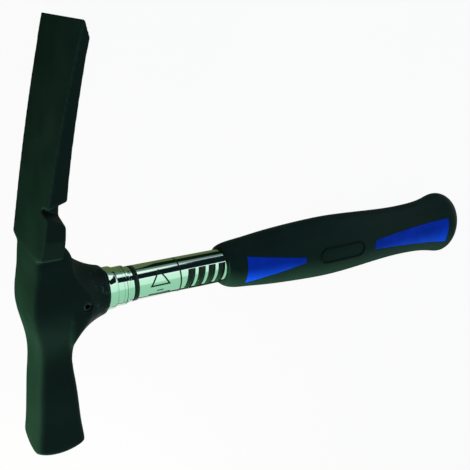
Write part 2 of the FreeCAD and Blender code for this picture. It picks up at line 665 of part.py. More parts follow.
def stadium(item, place, length, height):
    """A slot outline with round ends, centred on the grip's middle line."""
    first = item.GeometryCount
    radius = value_of(f"( {height} ) / 2")
    left = FreeCAD.Vector(value_of(f"{place} - ( {length} ) / 2") + radius, 0, 0)
    right = FreeCAD.Vector(value_of(f"{place} + ( {length} ) / 2") - radius, 0, 0)
    rise = FreeCAD.Vector(0, radius, 0)
    normal = FreeCAD.Vector(0, 0, 1)
    quarter = math.pi / 2
    item.addGeometry(Part.LineSegment(left - rise, right - rise))
    item.addGeometry(Part.ArcOfCircle(Part.Circle(right, normal, radius), -quarter, quarter))
    item.addGeometry(Part.LineSegment(right + rise, left + rise))
    item.addGeometry(Part.ArcOfCircle(Part.Circle(left, normal, radius), quarter, 3 * quarter))
    for index in range(4):
        item.addConstraint(Sketcher.Constraint("Tangent", first + index, 2, first + (index + 1) % 4, 1))
    item.addConstraint(Sketcher.Constraint("Equal", first + 1, first + 3))
    hold(item, "Radius", f"( {height} ) / 2", first + 1)
    hold_point(item, first + 1, 3, f"{place} + ( {length} - ( {height} ) ) / 2", "0")
    hold_point(item, first + 3, 3, f"{place} - ( {length} - ( {height} ) ) / 2", "0")


badge = flat_sketch("badge_outline")
stadium(badge, "badge_place", "badge_length", "badge_height")
stadium(badge, "badge_place", "( badge_length - 2 * badge_rim )", "badge_height - 2 * badge_rim")
frames = fuse_all("badge_frames", [prism("badge_prism_top", badge, 1), prism("badge_prism_bottom", badge, -1)])
raised_frames = boolean("raised_frames", "Common", raised_form, frames)
framed_grip = boolean("framed_grip", "Fuse", grip_outside, raised_frames)
pockets = boolean("inlay_pockets", "Common", inlay_shell, fuse_all("pocket_prisms", pocket_prisms))
tube_hole = cylinder("tube_hole", "grip_reach - overrun", "tube_diameter + tube_clearance",
                     f"{tube_end} + plug_flange - grip_reach + overrun")
hollows = fuse_all("grip_hollows", [pockets, tube_hole])
grip_body = boolean("grip_body", "Cut", framed_grip, hollows)

# %% Checks, then one file for each piece
doc.recompute()
pieces = [head, handle_tube, collar, retaining_pin, damping_core, tube_end_plug, printed_sleeve, grip_body, *inlays]
for item in doc.Objects:
    if "Invalid" in item.State or "Error" in item.State:
        raise RuntimeError(f"{item.Name} failed: {item.State}")
os.makedirs("parts", exist_ok=True)
for piece in pieces:
    shape = piece.Shape
    if shape.isNull() or not shape.isValid() or not shape.Solids:
        raise RuntimeError(f"{piece.Label} has no valid solid")
    shape.exportStep(f"parts/{piece.Label}.step")
    box = shape.BoundBox
    print(piece.Label, len(shape.Solids), "solid(s)", round(shape.Volume / 1000, 2), "cm3",
          [round(number, 1) for number in (box.XMin, box.XMax, box.YMin, box.YMax, box.ZMin, box.ZMax)])
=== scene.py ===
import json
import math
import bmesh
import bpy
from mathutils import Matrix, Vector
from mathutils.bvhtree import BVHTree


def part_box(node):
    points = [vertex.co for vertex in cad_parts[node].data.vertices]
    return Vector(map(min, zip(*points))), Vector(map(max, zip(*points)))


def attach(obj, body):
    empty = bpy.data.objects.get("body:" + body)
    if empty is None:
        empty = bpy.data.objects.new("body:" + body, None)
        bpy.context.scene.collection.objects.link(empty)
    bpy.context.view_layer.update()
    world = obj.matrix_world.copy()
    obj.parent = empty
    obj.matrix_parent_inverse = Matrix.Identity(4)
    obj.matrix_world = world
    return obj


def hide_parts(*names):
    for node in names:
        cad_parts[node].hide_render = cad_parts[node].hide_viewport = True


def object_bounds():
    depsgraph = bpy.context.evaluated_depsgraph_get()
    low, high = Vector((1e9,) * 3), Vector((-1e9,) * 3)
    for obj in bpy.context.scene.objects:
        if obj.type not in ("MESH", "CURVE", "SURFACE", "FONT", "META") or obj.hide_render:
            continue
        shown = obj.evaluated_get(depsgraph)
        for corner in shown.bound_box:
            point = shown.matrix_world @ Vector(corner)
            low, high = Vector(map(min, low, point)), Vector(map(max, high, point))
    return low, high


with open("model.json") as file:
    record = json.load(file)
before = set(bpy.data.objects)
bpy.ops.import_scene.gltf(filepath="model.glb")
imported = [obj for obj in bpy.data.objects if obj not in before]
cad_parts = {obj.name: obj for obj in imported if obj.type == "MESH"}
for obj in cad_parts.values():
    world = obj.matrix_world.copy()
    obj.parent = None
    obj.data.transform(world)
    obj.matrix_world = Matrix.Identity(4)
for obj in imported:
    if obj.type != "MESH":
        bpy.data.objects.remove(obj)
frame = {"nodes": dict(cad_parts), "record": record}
cad_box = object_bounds()

# %% [markdown]
# # A mason's hammer in its working finish
# The hammer has a forged head under dark stoved lacquer, a chrome-plated tube as its handle, a printed
# film round the tube, and a moulded rubber grip with blue inlays. The measured solids come in as a fixed
# frame. They could all be modelled again here, but most have the right shape already, so they keep their
# meshes and get a finish. Three are made again: the forging, because the solid's creases are sharper than
# a die leaves them, and the collar and the film, because bright metal shows the flats of a coarse mesh.

MM = 0.001
nodes = frame["nodes"]
for node_name in sorted(nodes):
    low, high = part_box(node_name)
    print(node_name, "size in mm", [round((high[i] - low[i]) / MM, 1) for i in range(3)])

# %% [markdown]
# ## The camera
# The photograph was fitted with a perspective camera, which gave its place, its directions and the point
# of the picture that it looks straight at. That point is above the middle of the picture, because the
# photograph was cropped, so the lens is shifted. Turning the camera instead would bend the hammer's
# proportions.

# %% Camera at the photograph's place
PICTURE = 470
FOCAL_PIXELS = 650
STRAIGHT_AHEAD = (244.1, 159.3)
SENSOR_WIDTH = 36
NEAREST_SEEN = 0.01
CAMERA_PLACE = (-0.08741, 0.21564, 0.27291)
CAMERA_RIGHT = Vector((0.82912, 0.0617, 0.55566))
CAMERA_UP = Vector((0.0845, 0.96865, -0.23363))
camera_data = bpy.data.cameras.new("photo_camera")
camera_data.sensor_width = SENSOR_WIDTH
camera_data.lens = FOCAL_PIXELS / PICTURE * SENSOR_WIDTH
camera_data.shift_x = 0.5 - STRAIGHT_AHEAD[0] / PICTURE
camera_data.shift_y = STRAIGHT_AHEAD[1] / PICTURE - 0.5
camera_data.clip_start = NEAREST_SEEN
camera = bpy.data.objects.new("photo_camera", camera_data)
bpy.context.scene.collection.objects.link(camera)
camera.matrix_world.col[0] = (*CAMERA_RIGHT, 0)
camera.matrix_world.col[1] = (*CAMERA_UP, 0)
camera.matrix_world.col[2] = (*CAMERA_RIGHT.cross(CAMERA_UP), 0)
camera.matrix_world.col[3] = (*CAMERA_PLACE, 1)
bpy.context.scene.camera = camera
bpy.context.scene.view_settings.view_transform = "Standard"
shift = [round(camera_data.shift_x, 3), round(camera_data.shift_y, 3)]
print("lens", round(camera_data.lens, 1), "mm, shift", shift)

# %% [markdown]
# ## Small helpers for finishes
# A hex colour is an sRGB value, but shaders add up light in linear values, so one function turns the one
# into the other. A second function adds a node with its settings, numbers and links in a single call,
# which keeps each finish short enough to read as a list. A third starts a material, so that every finish
# begins from the same empty shader.

# %% Colour and node helpers
def colour(hex_code):
    """A linear colour with alpha, from an sRGB hex code."""
    channels = [int(hex_code[start:start + 2], 16) / 255 for start in (0, 2, 4)]
    return (*[c / 12.92 if c <= 0.04045 else ((c + 0.055) / 1.055) ** 2.4 for c in channels], 1)


def add_node(tree, kind, numbers=None, links=None, **settings):
    """A node of one kind: its settings, the values of its sockets and what is plugged into them."""
    node = tree.nodes.new(kind)
    for name, value in settings.items():
        setattr(node, name, value)
    for socket, value in (numbers or {}).items():
        node.inputs[socket].default_value = value
    for socket, source in (links or {}).items():
        tree.links.new(source, node.inputs[socket])
    return node


def new_finish(name):
    """An empty material: its tree and its main shader, already joined to the output."""
    material = bpy.data.materials.new(name)
    material.use_nodes = True
    material.node_tree.nodes.clear()
    shader = add_node(material.node_tree, "ShaderNodeBsdfPrincipled")
    add_node(material.node_tree, "ShaderNodeOutputMaterial", links={"Surface": shader.outputs["BSDF"]})
    return material, material.node_tree, shader


print("a middle grey on the screen is", round(colour("808080")[0], 3), "of full light")

# %% [markdown]
# ## The studio
# The hammer lies on a pale floor that runs on far past the picture. The floor is mostly the plain white
# of the photograph's ground, and a part of it is an ordinary matt surface, so a soft shadow stays on it.
# Metal sees the same white. A curved backdrop would do as well, but a flat floor needs no fitting to the
# view.

# %% Floor
FLOOR_HALF_WIDTH = 6
FLOOR_MIDDLE = (0.13, 0.1)
FLOOR_GAP = 0.2 * MM
PLAIN_WHITE_SHARE = 0.94
lowest = cad_box[0].z
floor_mesh = bpy.data.meshes.new("studio_floor")
floor_shape = bmesh.new()
bmesh.ops.create_grid(floor_shape, x_segments=1, y_segments=1, size=FLOOR_HALF_WIDTH)
bmesh.ops.translate(floor_shape, verts=floor_shape.verts, vec=(*FLOOR_MIDDLE, lowest - FLOOR_GAP))
floor_shape.to_mesh(floor_mesh)
floor_shape.free()
floor = bpy.data.objects.new("studio_floor", floor_mesh)
bpy.context.scene.collection.objects.link(floor)
print("floor at", round(lowest / MM, 1), "mm")

# %% Paper of the floor
# Uncoated white background paper off a roll: matt, slightly cool, with no gloss of its own
paper, tree, shader = new_finish("white_studio_paper")
shader.inputs["Base Color"].default_value = colour("F2F4F3")
shader.inputs["Roughness"].default_value = 0.9
shader.inputs["Specular IOR Level"].default_value = 0.1
rays = add_node(tree, "ShaderNodeLightPath")
seen = add_node(tree, "ShaderNodeMath", operation="MAXIMUM",
                links={0: rays.outputs["Is Camera Ray"], 1: rays.outputs["Is Glossy Ray"]})
seen = add_node(tree, "ShaderNodeMath", operation="MAXIMUM",
                links={0: seen.outputs[0], 1: rays.outputs["Is Transmission Ray"]})
white_part = add_node(tree, "ShaderNodeMath", operation="MULTIPLY", numbers={1: PLAIN_WHITE_SHARE},
                      links={0: seen.outputs[0]})
white = add_node(tree, "ShaderNodeEmission", numbers={"Color": (1, 1, 1, 1), "Strength": 1})
both = add_node(tree, "ShaderNodeMixShader",
                links={0: white_part.outputs[0], 1: shader.outputs["BSDF"], 2: white.outputs["Emission"]})
output = next(node for node in tree.nodes if node.type == "OUTPUT_MATERIAL")
tree.links.new(both.outputs[0], output.inputs["Surface"])
floor_mesh.materials.append(paper)
print("floor is", paper.name)

# %% [markdown]
# A dark or polished thing on white paper loses its edges against it. Photographers lay cards beside it,
# just out of the picture, and this scene does the same. Olive cards lie beside the handle and the collar,
# with a black and a grey one beyond them. A green one lies under the grip, and a dark one beside the
# head. Reflections alone show them, and they throw no shadow.

# %% Cards for the edges
CARD_LIFT = 0.4 * MM


def card(name, low, high, tint):
    """A card flat on the floor between two corners, glowing evenly with its own light, which only
    reflections show.
    """
    shape = bmesh.new()
    bmesh.ops.create_grid(shape, x_segments=1, y_segments=1, size=0.5)
    bmesh.ops.scale(shape, verts=shape.verts, vec=(high[0] - low[0], high[1] - low[1], 1))
    middle = ((low[0] + high[0]) / 2, (low[1] + high[1]) / 2, lowest + CARD_LIFT)
    bmesh.ops.translate(shape, verts=shape.verts, vec=middle)
    mesh = bpy.data.meshes.new(name)
    shape.to_mesh(mesh)
    shape.free()
    matt, tree, shader = new_finish(name + "_paper")
    # Black card that glows evenly in its tint, with no lamp lighting it: painted light that stands in for
    # a lit card, seen only in reflections
    shader.inputs["Base Color"].default_value = (0, 0, 0, 1)
    shader.inputs["Specular IOR Level"].default_value = 0
    shader.inputs["Emission Color"].default_value = colour(tint)
    shader.inputs["Emission Strength"].default_value = 1
    mesh.materials.append(matt)
    sheet = bpy.data.objects.new(name, mesh)
    bpy.context.scene.collection.objects.link(sheet)
    sheet.visible_camera = False
    sheet.visible_diffuse = False
    sheet.visible_shadow = False
    sheet.visible_transmission = False
    print(name, "is", round((high[0] - low[0]) / MM), "by", round((high[1] - low[1]) / MM), "mm")


card("olive_card_beside_handle", (0.01, 0.07), (0.32, 0.106), "6E7A56")
card("olive_card_beside_collar", (0.01, 0.106), (0.066, 0.175), "6E7A56")
card("black_card_beside_handle", (0.066, 0.106), (0.32, 0.175), "141C12")
card("grey_card_beside_handle", (0.01, 0.175), (0.32, 0.5), "8494A0")
card("green_card_under_grip", (0.095, -0.3), (0.9, 0.07), "1C2E20")
card("dark_card_beside_head", (-0.14, -0.08), (0.01, 0.25), "20281A")

# %% [markdown]
# ## Light
# Chrome shows the room itself, so the room has a shape for it. From the striking face's side, over the
# top and down to the cutting edge's side, it has a pale green band, a paler one, a thin white line, a dark
# band and white again. Only what a polished tube needs is there, as in a photographer's tent. A picture
# of a real room would give chrome more to show, but not the few clean stripes of this photograph. Every
# other surface gets an even pale blue room light instead, low enough that the lamps do the modelling.

# %% Room light
# Each row: place from the striking face's side to the cutting edge's side, and the tone there
ROOM_BANDS = [
    (0, "A2C8B4"), (0.45, "A8CEBA"), (0.52, "D6ECE2"), (0.75, "E0F2EA"), (0.805, "FFFFFF"),
    (0.815, "0E1822"), (0.941, "0E1822"), (0.949, "FFFFFF"), (1, "FFFFFF"),
]
BANDS_STRENGTH = 1.5
FILLING_STRENGTH = 0.22
world = bpy.data.worlds.new("studio_room")
bpy.context.scene.world = world
world.use_nodes = True
tree = world.node_tree
tree.nodes.clear()
direction = add_node(tree, "ShaderNodeTexCoord")
parts = add_node(tree, "ShaderNodeSeparateXYZ", links={0: direction.outputs["Generated"]})
across = add_node(tree, "ShaderNodeMapRange", numbers={"From Min": -1, "From Max": 1},
                  links={"Value": parts.outputs["Y"]})
bands = add_node(tree, "ShaderNodeValToRGB", links={"Fac": across.outputs["Result"]})
for number, (band_place, band_tone) in enumerate(ROOM_BANDS):
    if number > 1:
        bands.color_ramp.elements.new(band_place)
    bands.color_ramp.elements[number].position = band_place
    bands.color_ramp.elements[number].color = colour(band_tone)
reflected = add_node(tree, "ShaderNodeBackground", numbers={"Strength": BANDS_STRENGTH},
                     links={"Color": bands.outputs["Color"]})
filling = add_node(tree, "ShaderNodeBackground",
                   numbers={"Color": colour("D4E8FF"), "Strength": FILLING_STRENGTH})
ground = add_node(tree, "ShaderNodeBackground", numbers={"Color": (1, 1, 1, 1), "Strength": 1})
rays = add_node(tree, "ShaderNodeLightPath")
for_metal = add_node(tree, "ShaderNodeMixShader", links={
    0: rays.outputs["Is Glossy Ray"], 1: filling.outputs[0], 2: reflected.outputs[0]})
for_all = add_node(tree, "ShaderNodeMixShader", links={
    0: rays.outputs["Is Camera Ray"], 1: for_metal.outputs[0], 2: ground.outputs[0]})
add_node(tree, "ShaderNodeOutputWorld", links={"Surface": for_all.outputs[0]})
print("room bands", len(bands.color_ramp.elements))

# %% [markdown]
# The photograph's light comes mostly from the striking face's side, so the poll's outer side and the
# underside of the grip are its palest parts. Two low key lamps stand on that side. The second one and a
# small reflector on the floor beside the head have a green tint, because the photograph is green there.
# Two large weak lamps fill in from above and behind. One lamp as large as a window would do for most
# tools, but it would flatten a head as dark as this one.

# %% Lamps
def softbox(name, place, target, width, power, tint):
    """A square lamp at one place that looks at another. It shows in no picture and in no reflection."""
    data = bpy.data.lights.new(name, "AREA")
    data.size = width
    data.energy = power
    data.color = colour(tint)[:3]
    lamp = bpy.data.objects.new(name, data)
    bpy.context.scene.collection.objects.link(lamp)
    away = Vector(place) - Vector(target)
    lamp.location = place
    lamp.rotation_mode = "QUATERNION"
    lamp.rotation_quaternion = away.to_track_quat("Z", "Y")
    lamp.visible_camera = False
    lamp.visible_glossy = False
    print(name, "stands", round(away.length, 2), "m away")


softbox("key_from_the_poll_side", (-0.14, -0.28, 0.01), (0.05, 0.05, 0), 0.06, 4, "F8FFE8")
softbox("key_from_the_outer_side", (-0.2, -0.28, 0.01), (0, 0.03, 0), 0.06, 2, "CCFFA4")
softbox("reflector_on_the_floor", (-0.075, 0.03, lowest + MM), (-0.075, 0.03, 1), 0.12, 0.14, "C4FFA0")
softbox("fill_from_above", (0.05, 0.05, 0.9), (0.12, 0.08, 0), 0.4, 0.5, "E4F4FF")
softbox("fill_from_behind", (0.6, 0.7, 0.2), (0.12, 0.08, 0), 0.4, 0.9, "C4E6FF")

# %% [markdown]
# ## The forged head
# A die leaves every inside corner with a radius and every outside edge slightly soft, and blasting before
# the lacquer softens them once more. Bevels on each crease would give that, but the solid's creases meet
# at odd angles. A fine voxel skin over the solid, relaxed a few times, rounds all of them alike.

# %% A copy of the solid, and its voxel skin
VOXEL = 0.6 * MM
SAME_PLACE = 0.001 * MM


def merged_copy(node_name):
    """A bmesh of a CAD node with its loose triangles joined."""
    shape = bmesh.new()
    shape.from_mesh(nodes[node_name].data)
    bmesh.ops.remove_doubles(shape, verts=shape.verts, dist=SAME_PLACE)
    return shape


def piece_from(shape, name):
    """An object at the origin from a bmesh, shaded smooth."""
    mesh = bpy.data.meshes.new(name)
    shape.to_mesh(mesh)
    shape.free()
    mesh.shade_smooth()
    piece = bpy.data.objects.new(name, mesh)
    bpy.context.scene.collection.objects.link(piece)
    return piece


solid_head = merged_copy("hammer_head")
solid_tree = BVHTree.FromBMesh(solid_head)
rough_head = piece_from(solid_head, "rough_head")
skin = rough_head.modifiers.new("skin", "REMESH")
skin.mode = "VOXEL"
skin.voxel_size = VOXEL
evaluated = rough_head.evaluated_get(bpy.context.evaluated_depsgraph_get())
head_skin = bmesh.new()
head_skin.from_mesh(evaluated.to_mesh())
evaluated.to_mesh_clear()
bpy.data.objects.remove(rough_head)
print("voxel skin", len(head_skin.verts), "points", len(head_skin.faces), "faces")

# %% [markdown]
# The bore, the pin's hole and the cutting edge are machined and stay crisp, so their points are put back
# on the solid after the relaxing. Below the socket, where it runs into the inner side of the poll, the
# solid has a crease that a die can't make, and a die's radius there is large. That valley is relaxed for
# many more passes, and nothing else is.

# %% What is machined
BORE_MARGIN = 0.4 * MM
RIM_MARGIN = 0.8 * MM
HOLE_REACH = 2.3 * MM
EDGE_ZONE = 11 * MM
record_mount = next(mount for mount in frame["record"]["mounts"] if mount["name"] == "handle_neck")
handle_height = record_mount["pos_m"][1]
pin_low, pin_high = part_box("retaining_pin")
pin_middle = (pin_low[0] + pin_high[0]) / 2
tube_radius = (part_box("handle_tube")[1][1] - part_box("handle_tube")[0][1]) / 2
rim_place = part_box("hammer_head")[1][0]


def machined(point):
    """True in the bore, in the pin's hole and near the cutting edge."""
    from_axis = math.hypot(point.y - handle_height, point.z)
    in_bore = from_axis < tube_radius + BORE_MARGIN and point.x < rim_place - RIM_MARGIN
    in_hole = math.hypot(point.x - pin_middle, point.y - handle_height) < HOLE_REACH
    return in_bore or in_hole or point.y > cad_box[1].y - EDGE_ZONE


forged = [vertex for vertex in head_skin.verts if not machined(vertex.co)]
kept = [vertex for vertex in head_skin.verts if machined(vertex.co)]
print(len(forged), "forged points,", len(kept), "machined ones")

# %% Relaxing the forging
FORGED_PASSES = 4
VALLEY_PASSES = 25
VALLEY_FROM_X, VALLEY_TO_X = 3 * MM, 15 * MM
VALLEY_FROM_Y, VALLEY_TO_Y = 46 * MM, 70 * MM


def relax(points, passes):
    """Moves each point halfway to the middle of its neighbours, several times."""
    for _ in range(passes):
        bmesh.ops.smooth_vert(head_skin, verts=points, factor=0.5,
                              use_axis_x=True, use_axis_y=True, use_axis_z=True)


relax(forged, FORGED_PASSES)
for vertex in kept:
    vertex.co = solid_tree.find_nearest(vertex.co)[0]
valley = [vertex for vertex in forged if VALLEY_FROM_X < vertex.co.x < VALLEY_TO_X
          and VALLEY_FROM_Y < vertex.co.y < VALLEY_TO_Y]
relax(valley, VALLEY_PASSES)
forging = piece_from(head_skin, "forged_head")
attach(forging, "root")
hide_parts("hammer_head")
print("forging", len(forging.data.polygons), "faces,", len(valley), "points in the valley")

# %% [markdown]
# ### Dark stoved lacquer
# The lacquer is sprayed on the blasted forging and baked. It is nearly black with a green cast, satin, and
# shows the fine grain of the steel under it. Edges that stand out rub through to a paler tone first. A
# painted mask could say where, but the mesh's own sharpness gives it with no painting, on every edge.

# %% Lacquer on the head
# Baked black-green lacquer on blasted steel: dark and satin, uneven in slow patches, paler at worn edges
lacquer, tree, shader = new_finish("stoved_lacquer_on_forged_steel")
place = add_node(tree, "ShaderNodeTexCoord").outputs["Object"]
patches = add_node(tree, "ShaderNodeTexNoise", links={"Vector": place},
                   numbers={"Scale": 1 / (16 * MM), "Detail": 3, "Roughness": 0.55})
tone = add_node(tree, "ShaderNodeValToRGB", links={"Fac": patches.outputs["Fac"]})
tone.color_ramp.elements[0].color = colour("10201D")
tone.color_ramp.elements[0].position = 0.3
tone.color_ramp.elements[1].color = colour("162724")
tone.color_ramp.elements[1].position = 0.75
sharpness = add_node(tree, "ShaderNodeNewGeometry")
edges = add_node(tree, "ShaderNodeMapRange", numbers={"From Min": 0.52, "From Max": 0.62},
                 links={"Value": sharpness.outputs["Pointiness"]})
rub = add_node(tree, "ShaderNodeTexNoise", numbers={"Scale": 1 / (2.5 * MM), "Detail": 3},
               links={"Vector": place})
rubbed = add_node(tree, "ShaderNodeMath", operation="MULTIPLY",
                  links={0: edges.outputs["Result"], 1: rub.outputs["Fac"]})
worn = add_node(tree, "ShaderNodeMix", data_type="RGBA", numbers={"B": colour("243E36")},
                links={"Factor": rubbed.outputs[0], "A": tone.outputs["Color"]})
print("lacquer has", len(tree.nodes), "nodes so far")

# %% Scuffs, most of them near the rim where the tube was pressed in
SCUFFS_FADE_IN = 10 * MM
SCUFFS_FULL = 3 * MM
apart = add_node(tree, "ShaderNodeSeparateXYZ", links={0: place})
knocks = add_node(tree, "ShaderNodeTexNoise", links={"Vector": place},
                  numbers={"Scale": 1 / (3.5 * MM), "Detail": 3, "Distortion": 0.8})
few = add_node(tree, "ShaderNodeMapRange", numbers={"From Min": 0.56, "From Max": 0.66},
               links={"Value": knocks.outputs["Fac"]})
near_rim = add_node(tree, "ShaderNodeMapRange", links={"Value": apart.outputs["X"]}, numbers={
    "From Min": rim_place - SCUFFS_FADE_IN, "From Max": rim_place - SCUFFS_FULL, "To Max": 0.6})
scuffs = add_node(tree, "ShaderNodeMath", operation="MULTIPLY",
                  links={0: few.outputs["Result"], 1: near_rim.outputs["Result"]})
scuffed = add_node(tree, "ShaderNodeMix", data_type="RGBA", numbers={"B": colour("56766A")},
                   links={"Factor": scuffs.outputs[0], "A": worn.outputs["Result"]})
print("scuffs start", round((rim_place - SCUFFS_FADE_IN) / MM, 1), "mm ahead of the face's centre")

# %% [markdown]
# The ground bevel keeps its grinding lines across the blade under a thinner coat, and looks paler. It is
# a plane of the forging, so the distance from that plane says where it is. A material slot of its own
# would do as well, but the voxel skin has no faces that end exactly at its foot.

# %% Where the ground bevel is
BEVEL_FOOT = Vector((6.91 * MM, 196.5 * MM, 0))
BEVEL_EDGE = Vector((4.6 * MM, 203.7 * MM, 0))
BEVEL_START, BEVEL_FULL = -0.4 * MM, -0.15 * MM
FOOT_START, FOOT_FULL = -1.2 * MM, 0.4 * MM
along_bevel = (BEVEL_EDGE - BEVEL_FOOT).normalized()
off_bevel = Vector((along_bevel.y, -along_bevel.x, 0))
bevel_level = off_bevel.dot(BEVEL_FOOT)
depth = add_node(tree, "ShaderNodeVectorMath", operation="DOT_PRODUCT", numbers={1: off_bevel},
                 links={0: place})
near_bevel = add_node(tree, "ShaderNodeMapRange", links={"Value": depth.outputs["Value"]}, numbers={
    "From Min": bevel_level + BEVEL_START, "From Max": bevel_level + BEVEL_FULL})
near_edge = add_node(tree, "ShaderNodeMapRange", links={"Value": apart.outputs["Y"]}, numbers={
    "From Min": BEVEL_FOOT.y + FOOT_START, "From Max": BEVEL_FOOT.y + FOOT_FULL})
on_bevel = add_node(tree, "ShaderNodeMath", operation="MULTIPLY",
                    links={0: near_bevel.outputs["Result"], 1: near_edge.outputs["Result"]})
print("bevel", round((BEVEL_EDGE - BEVEL_FOOT).length / MM, 1), "mm high")

# %% Grinding lines under a thinner coat
# The real lines are about 0.1 mm apart, too fine for the picture, so they are drawn four times as coarse
LINE_SPACING = 0.4 * MM
across_edge = add_node(tree, "ShaderNodeMapping", numbers={"Scale": (1, 0.04, 1)}, links={"Vector": place})
ground_lines = add_node(tree, "ShaderNodeTexNoise", numbers={"Scale": 1 / LINE_SPACING, "Detail": 2},
                        links={"Vector": across_edge.outputs["Vector"]})
ground_tone = add_node(tree, "ShaderNodeValToRGB", links={"Fac": ground_lines.outputs["Fac"]})
ground_tone.color_ramp.elements[0].color = colour("3E5C56")
ground_tone.color_ramp.elements[1].color = colour("8AA8A0")
coated = add_node(tree, "ShaderNodeMix", data_type="RGBA", links={
    "Factor": on_bevel.outputs[0], "A": scuffed.outputs["Result"], "B": ground_tone.outputs["Color"]})
tree.links.new(coated.outputs["Result"], shader.inputs["Base Color"])
print("grinding lines", round(LINE_SPACING / MM, 1), "mm apart")

# %% Gloss and grain of the lacquer
# Blasting leaves a grain of about 0.2 mm, too fine for the picture, so it is drawn at 0.9 mm
grain = add_node(tree, "ShaderNodeTexNoise", links={"Vector": place},
                 numbers={"Scale": 1 / (0.9 * MM), "Detail": 4, "Roughness": 0.6})
gloss = add_node(tree, "ShaderNodeMapRange", numbers={"To Min": 0.4, "To Max": 0.56},
                 links={"Value": patches.outputs["Fac"]})
tree.links.new(gloss.outputs["Result"], shader.inputs["Roughness"])
relief = add_node(tree, "ShaderNodeBump", numbers={"Strength": 0.25, "Distance": 0.12 * MM},
                  links={"Height": grain.outputs["Fac"]})
tree.links.new(relief.outputs["Normal"], shader.inputs["Normal"])
shader.inputs["Specular IOR Level"].default_value = 0.06
forging.data.materials.append(lacquer)
print(forging.name, "is", lacquer.name)

# %% [markdown]
# ## Chrome plate on the tube and the collar
# The tube is drawn steel, polished and plated with nickel and a thin layer of chromium. Chromium reflects
# a little over half of the light, with very small scratches that run along the tube from drawing and
# polishing. A mirror would be simpler, but without the scratches it looks like glass.

# %% Chrome
# Polished chrome plate: a bright, slightly green mirror. The real scratches are far too fine for the
# picture, so they are drawn 0.6 mm wide and very faint
chrome, tree, shader = new_finish("chrome_plate_on_drawn_tube")
place = add_node(tree, "ShaderNodeTexCoord").outputs["Object"]
stretched = add_node(tree, "ShaderNodeMapping", numbers={"Scale": (0.06, 1, 1)}, links={"Vector": place})
lines = add_node(tree, "ShaderNodeTexNoise", numbers={"Scale": 1 / (0.6 * MM), "Detail": 3},
                 links={"Vector": stretched.outputs["Vector"]})
haze = add_node(tree, "ShaderNodeMapRange", numbers={"To Min": 0.04, "To Max": 0.12},
                links={"Value": lines.outputs["Fac"]})
shader.inputs["Base Color"].default_value = colour("B9D6C4")
shader.inputs["Metallic"].default_value = 1
tree.links.new(haze.outputs["Result"], shader.inputs["Roughness"])
relief = add_node(tree, "ShaderNodeBump", numbers={"Strength": 0.08, "Distance": 0.02 * MM},
                  links={"Height": lines.outputs["Fac"]})
tree.links.new(relief.outputs["Normal"], shader.inputs["Normal"])


def finish_node(node_name, material):
    """Gives a CAD node its finish."""
    mesh = nodes[node_name].data
    mesh.materials.clear()
    mesh.materials.append(material)
    print(node_name, "is", material.name)


finish_node("handle_tube", chrome)

# %% [markdown]
# ### Turned again: the collar
# Chrome shows every flat of a mesh, so the collar is turned afresh from its profile with many more steps
# round than the measured solid has. A turned profile also takes the small things: the bead beside the
# socket, two fine grooves behind it and the broken edge at its end.

# %% A lathe
TURNS = 160
SHARP_FROM = math.radians(32)


def turned(name, profile):
    """A piece turned round the handle's axis from a closed profile of places along it and radii, in mm."""
    shape = bmesh.new()
    points = [shape.verts.new((along * MM, handle_height, radius * MM)) for along, radius in profile]
    edges = [shape.edges.new((points[index - 1], points[index])) for index in range(len(points))]
    bmesh.ops.spin(shape, geom=points + edges, cent=(0, handle_height, 0), axis=(1, 0, 0),
                   dvec=(0, 0, 0), angle=2 * math.pi, steps=TURNS, use_merge=True)
    bmesh.ops.remove_doubles(shape, verts=shape.verts, dist=SAME_PLACE)
    bmesh.ops.recalc_face_normals(shape, faces=shape.faces)
    piece = piece_from(shape, name)
    piece.data.set_sharp_from_angle(angle=SHARP_FROM)
    return piece


print("one step of the lathe is", round(360 / TURNS, 2), "degrees")

# %% The collar's profile, in mm
FIT = 0.03
BEAD_RISE = 0.85
# Each row: place along the bead, and how far it stands out there
BEAD = [(0.0, 0.0), (0.35, 0.5), (0.8, 0.78), (1.5, BEAD_RISE), (3.6, BEAD_RISE), (4.3, 0.72),
        (4.75, 0.42), (5.0, 0.0)]
# Each row: how far a groove lies from the collar's end, and how deep it is
GROOVES = [(1.5, 0.55), (3.2, 0.22)]
GROOVE_MOUTH, GROOVE_FLOOR = 0.24, 0.16
INNER_BREAK, OUTER_BREAK, END_LENGTH = 0.1, 0.3, 0.25
collar_low, collar_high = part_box("tube_collar")
start = collar_low[0] / MM
end = collar_high[0] / MM
inside = tube_radius / MM + FIT
plain = (collar_high[1] - handle_height) / MM - BEAD_RISE
collar_profile = [(start, inside), (end - INNER_BREAK, inside), (end, inside + INNER_BREAK),
                  (end, plain - OUTER_BREAK), (end - END_LENGTH, plain)]
for from_end, deep in GROOVES:
    groove = end - from_end
    collar_profile += [(groove + GROOVE_MOUTH, plain), (groove + GROOVE_FLOOR, plain - deep),
                       (groove - GROOVE_FLOOR, plain - deep), (groove - GROOVE_MOUTH, plain)]
collar_profile += [(start + along, plain + rise) for along, rise in reversed(BEAD)]
print("collar profile", len(collar_profile), "corners")

# %% The collar
collar = turned("turned_collar", collar_profile)
collar.data.materials.append(chrome)
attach(collar, "root")
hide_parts("tube_collar")
print("collar", len(collar.data.polygons), "faces, radius", round(plain + BEAD_RISE, 2), "mm")

# %% [markdown]
# ### The dark pin
# The retaining pin is rolled from a strip of spring steel, hardened and dipped in oil. It sits below the
# cheek in its hole, so little of it shows: a dark ring with a dull shine. It keeps its measured mesh,
# because a slotted ring this small needs nothing more.

